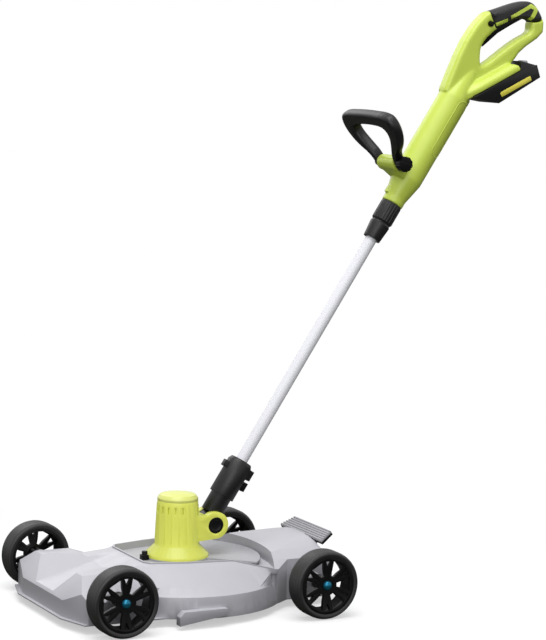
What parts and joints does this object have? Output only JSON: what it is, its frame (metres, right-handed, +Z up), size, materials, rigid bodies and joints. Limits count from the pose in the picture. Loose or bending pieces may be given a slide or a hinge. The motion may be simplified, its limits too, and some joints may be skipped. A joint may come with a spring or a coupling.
{
  "type": "wheeled string trimmer",
  "caption": "Wheeled mowing deck that carries a battery string trimmer, with a tilting telescopic shaft, a loop handle, a trigger grip and a slide-on battery pack.",
  "frame": {"origin": "on the ground, under the middle of the machine's length and width", "axes": "+X to the rear, away from the direction of travel; +Y to the user's right; +Z up"},
  "size_m": [1.0628, 0.4768, 1.1637],
  "materials": {
    "lime_plastic": "satin lime moulding",
    "grey_plastic": "fine-grained pale grey moulding",
    "guard_plastic": "fine-grained grey moulding",
    "black_plastic": "textured black moulding",
    "grip_rubber": "soft overmoulded grip",
    "tyre": "grooved tread band",
    "steel": "plain bright steel",
    "motor_steel": "plain motor can",
    "teal_metal": "metallic teal dome",
    "tube_aluminium": "silver anodised tube",
    "line_nylon": "smooth nylon line",
    "terminal_brass": "contact block"
  },
  "bodies": {
    "deck": {"deck_shell": "grey_plastic", "front_axle": "steel", "rear_axle": "steel", "axle_caps": "teal_metal", "pedal_pin": "steel", "motor_housing": "lime_plastic", "motor_cap": "lime_plastic", "motor": "motor_steel", "shaft_bearing": "steel", "guard": "guard_plastic", "line_cutter": "steel", "guard_screws": "steel", "pivot_pin": "steel"},
    "front_left_wheel": {"wheel_front_left": "black_plastic", "tyre_front_left": "tyre"},
    "front_right_wheel": {"wheel_front_right": "black_plastic", "tyre_front_right": "tyre"},
    "rear_left_wheel": {"wheel_rear_left": "black_plastic", "tyre_rear_left": "tyre"},
    "rear_right_wheel": {"wheel_rear_right": "black_plastic", "tyre_rear_right": "tyre"},
    "pedal": {"pedal_lever": "black_plastic", "pedal_tread": "grey_plastic"},
    "dock_catch": {"dock_catch": "black_plastic"},
    "line_head": {"motor_shaft": "steel", "spool_housing": "black_plastic", "line_spool": "black_plastic", "line_winding": "line_nylon", "cutting_line": "line_nylon", "line_eyelets": "steel", "spool_spring": "steel"},
    "bump_knob": {"bump_knob": "black_plastic"},
    "pivot_button": {"pivot_button": "black_plastic"},
    "shaft": {"joint_sleeve": "black_plastic", "lower_tube": "tube_aluminium"},
    "shaft_lock": {"shaft_lock_button": "black_plastic"},
    "upper": {"upper_tube": "tube_aluminium", "lock_collet": "black_plastic", "housing_left": "lime_plastic", "housing_right": "lime_plastic", "grip": "grip_rubber", "trigger_pin": "steel", "switch": "black_plastic", "terminal_block": "terminal_brass", "housing_screws": "steel", "loop_bolt": "steel"},
    "collar": {"twist_collar": "black_plastic"},
    "trigger": {"trigger": "black_plastic"},
    "lock_off": {"lock_off_button": "black_plastic"},
    "loop": {"loop_handle": "black_plastic"},
    "loop_knob": {"loop_knob": "black_plastic"},
    "battery": {"battery_pack": "black_plastic"},
    "battery_release": {"battery_release": "black_plastic"}
  },
  "joints": [
    {"name": "front_left_wheel_spin", "type": "hinge", "parent": "deck", "child": "front_left_wheel", "pos_m": [-0.45437, -0.2145, 0.065], "axis": [0, 1, 0], "continuous": true},
    {"name": "front_right_wheel_spin", "type": "hinge", "parent": "deck", "child": "front_right_wheel", "pos_m": [-0.45437, 0.2145, 0.065], "axis": [0, 1, 0], "continuous": true},
    {"name": "rear_left_wheel_spin", "type": "hinge", "parent": "deck", "child": "rear_left_wheel", "pos_m": [-0.04437, -0.2145, 0.065], "axis": [0, 1, 0], "continuous": true},
    {"name": "rear_right_wheel_spin", "type": "hinge", "parent": "deck", "child": "rear_right_wheel", "pos_m": [-0.04437, 0.2145, 0.065], "axis": [0, 1, 0], "continuous": true},
    {"name": "pedal_press", "type": "hinge", "parent": "deck", "child": "pedal", "pos_m": [0.01963, 0, 0.107], "axis": [0, 1, 0], "range_deg": [0, 14], "stiffness_Nm_per_rad": 1.5, "springref_deg": -17.19},
    {"name": "catch_slide", "type": "slide", "parent": "deck", "child": "dock_catch", "axis": [-1, 0, 0], "range_m": [0, 0.008], "stiffness_N_per_m": 400, "springref_m": -0.004},
    {"name": "line_head_spin", "type": "hinge", "parent": "deck", "child": "line_head", "pos_m": [-0.24937, 0, 0.088], "axis": [0, 0, 1], "continuous": true},
    {"name": "bump_press", "type": "slide", "parent": "line_head", "child": "bump_knob", "axis": [0, 0, 1], "range_m": [0, 0.005], "stiffness_N_per_m": 2000, "springref_m": -0.005, "deforming": ["spool_spring"]},
    {"name": "pivot_button_press", "type": "slide", "parent": "deck", "child": "pivot_button", "axis": [0, 1, 0], "range_m": [0, 0.003], "stiffness_N_per_m": 800, "springref_m": -0.003},
    {"name": "shaft_tilt", "type": "hinge", "parent": "deck", "child": "shaft", "pos_m": [-0.18137, 0, 0.15], "axis": [0, 1, 0], "range_deg": [-15, 30]},
    {"name": "shaft_lock_press", "type": "slide", "parent": "shaft", "child": "shaft_lock", "axis": [-0.8415, 0, 0.5402], "range_m": [0, 0.003], "stiffness_N_per_m": 800, "springref_m": -0.003},
    {"name": "telescope", "type": "slide", "parent": "shaft", "child": "upper", "axis": [0.5402, 0, 0.8415], "range_m": [-0.17, 0]},
    {"name": "collar_twist", "type": "hinge", "parent": "upper", "child": "collar", "pos_m": [0.15765, 0, 0.69289], "axis": [0.5402, 0, 0.8415], "range_deg": [0, 60]},
    {"name": "trigger_pull", "type": "hinge", "parent": "upper", "child": "trigger", "pos_m": [0.47843, 0, 1.13332], "axis": [0, 1, 0], "range_deg": [0, 6], "stiffness_Nm_per_rad": 0.6, "springref_deg": -11.46},
    {"name": "lock_off_press", "type": "slide", "parent": "upper", "child": "lock_off", "axis": [0, 1, 0], "range_m": [0, 0.003], "stiffness_N_per_m": 500, "springref_m": -0.003},
    {"name": "loop_tilt", "type": "hinge", "parent": "upper", "child": "loop", "pos_m": [0.19614, 0, 0.84168], "axis": [0, 1, 0], "range_deg": [-35, 35]},
    {"name": "loop_knob_turn", "type": "hinge", "parent": "loop", "child": "loop_knob", "pos_m": [0.19614, -0.052, 0.84168], "axis": [0, 1, 0], "continuous": true},
    {"name": "battery_slide", "type": "slide", "parent": "upper", "child": "battery", "axis": [0.897, 0, 0.442], "range_m": [0, 0.1]},
    {"name": "battery_release_press", "type": "slide", "parent": "battery", "child": "battery_release", "axis": [0.442, 0, -0.897], "range_m": [0, 0.003], "stiffness_N_per_m": 600, "springref_m": -0.003}
  ]
}
